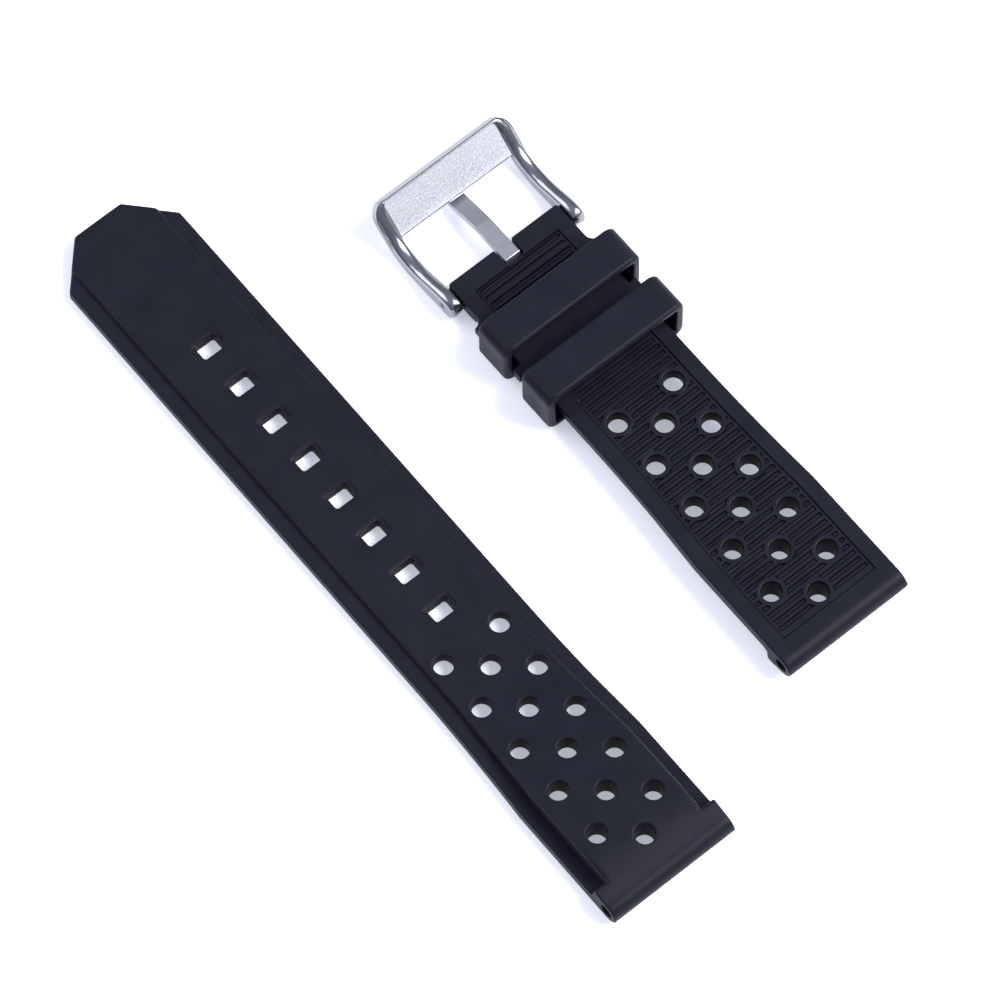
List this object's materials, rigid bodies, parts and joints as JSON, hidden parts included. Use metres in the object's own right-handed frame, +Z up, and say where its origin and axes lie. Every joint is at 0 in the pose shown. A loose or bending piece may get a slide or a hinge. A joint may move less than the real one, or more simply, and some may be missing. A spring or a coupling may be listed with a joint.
{
  "type": "watch strap",
  "caption": "Two-piece rubber watch strap with round rally holes, ribbed wrist face, pin buckle on a sprung bar and two rubber loops.",
  "frame": {"origin": "centre of the underside of the two halves as they lie side by side, on the surface that they lie on", "axes": "+X along the tail half from its tip to its lug end, +Y from the tail half to the buckle half, +Z up: the tail half lies outer side up, the buckle half wrist side up"},
  "size_m": [0.118, 0.0598, 0.0091],
  "materials": {
    "strap_rubber": "matte moulded rubber, near black with a violet-blue tint",
    "loop_rubber": "satin moulded rubber, near black with a violet-blue tint",
    "buckle_steel": "polished arms and rim, finely blasted cross piece",
    "tongue_steel": "brushed along its length",
    "bar_steel": "turned and ground",
    "spring_steel": "drawn wire"
  },
  "bodies": {
    "straps": {"tail_strap": "strap_rubber", "buckle_strap": "strap_rubber", "first_loop": "loop_rubber", "bar_tube": "bar_steel", "bar_spring": "spring_steel"},
    "free_loop": {"free_loop": "loop_rubber"},
    "buckle_frame": {"buckle_frame": "buckle_steel"},
    "buckle_tongue": {"buckle_tongue": "tongue_steel"},
    "left_bar_pin": {"left_bar_pin": "bar_steel"},
    "right_bar_pin": {"right_bar_pin": "bar_steel"}
  },
  "joints": [
    {"name": "buckle_swing", "type": "hinge", "parent": "straps", "child": "buckle_frame", "pos_m": [-0.02087, 0.01845, 0.00228], "axis": [0, 1, 0], "range_deg": [-50, 80]},
    {"name": "tongue_swing", "type": "hinge", "parent": "buckle_frame", "child": "buckle_tongue", "pos_m": [-0.02087, 0.01845, 0.00228], "axis": [0, 1, 0], "range_deg": [-80, 0.8]},
    {"name": "free_loop_slide", "type": "slide", "parent": "straps", "child": "free_loop", "axis": [0.9989, 0, -0.0466], "range_m": [0, 0.0345]},
    {"name": "left_pin_slide", "type": "slide", "parent": "straps", "child": "left_bar_pin", "axis": [0, 1, 0], "range_m": [0, 0.00155], "stiffness_N_per_m": 400, "springref_m": -0.0015, "deforming": ["bar_spring"]},
    {"name": "right_pin_slide", "type": "slide", "parent": "straps", "child": "right_bar_pin", "axis": [0, -1, 0], "range_m": [0, 0.00155], "stiffness_N_per_m": 400, "springref_m": -0.0015, "deforming": ["bar_spring"]}
  ]
}
